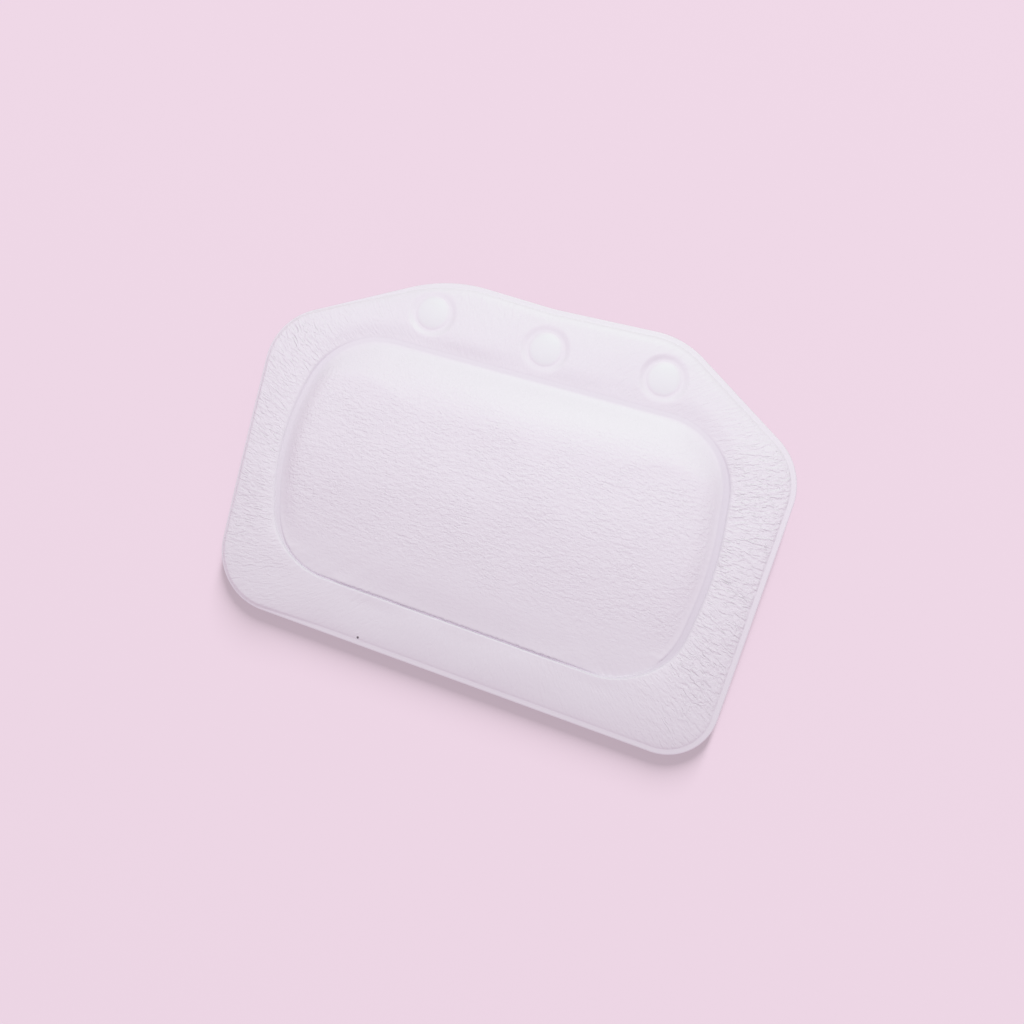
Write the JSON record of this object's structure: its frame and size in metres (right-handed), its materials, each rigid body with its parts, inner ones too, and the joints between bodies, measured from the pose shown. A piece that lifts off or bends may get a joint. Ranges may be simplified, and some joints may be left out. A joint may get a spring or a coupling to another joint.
{
  "type": "bath pillow",
  "caption": "Soft vinyl bath pillow with a crowned foam cushion inside a padded margin, and a folding flap along the top that carries suction cups in welded pockets.",
  "frame": {"origin": "middle of the pillow's box, on the surface that it lies on", "axes": "+X to the right seen from the front with the flap at the top, +Y towards the flap, +Z out of the front face: the pillow lies on its back, on its belly and the rims of its suction cups"},
  "size_m": [0.329, 0.2376, 0.0278],
  "materials": {
    "front_vinyl": "pale lavender-white soft vinyl, leather-like emboss, satin",
    "back_vinyl": "pale lavender-white soft vinyl, fine grain, satin",
    "foam": "open-cell foam, matte",
    "clear_vinyl": "translucent flexible vinyl, glossy",
    "ring_vinyl": "plain white vinyl, smooth"
  },
  "bodies": {
    "pad": {"front_cover": "front_vinyl", "back_cover": "back_vinyl", "cushion_core": "foam", "margin_foam": "foam"},
    "flap": {"front_cover_flap": "front_vinyl", "back_cover_flap": "back_vinyl", "flap_foam": "foam", "reinforcing_ring_left": "ring_vinyl", "reinforcing_ring_middle": "ring_vinyl", "reinforcing_ring_right": "ring_vinyl"},
    "cup_left": {"suction_cup_left": "clear_vinyl"},
    "cup_middle": {"suction_cup_middle": "clear_vinyl"},
    "cup_right": {"suction_cup_right": "clear_vinyl"}
  },
  "joints": [
    {"name": "flap_fold", "type": "hinge", "parent": "pad", "child": "flap", "pos_m": [0, 0.06719, 0.015], "axis": [1, 0, 0], "range_deg": [-50, 45], "stiffness_Nm_per_rad": 0.1},
    {"name": "cup_left_swivel", "type": "hinge", "parent": "flap", "child": "cup_left", "pos_m": [-0.073, 0.08969, 0], "axis": [0, 0, 1], "continuous": true},
    {"name": "cup_middle_swivel", "type": "hinge", "parent": "flap", "child": "cup_middle", "pos_m": [0, 0.08719, 0], "axis": [0, 0, 1], "continuous": true},
    {"name": "cup_right_swivel", "type": "hinge", "parent": "flap", "child": "cup_right", "pos_m": [0.073, 0.08969, 0], "axis": [0, 0, 1], "continuous": true}
  ]
}
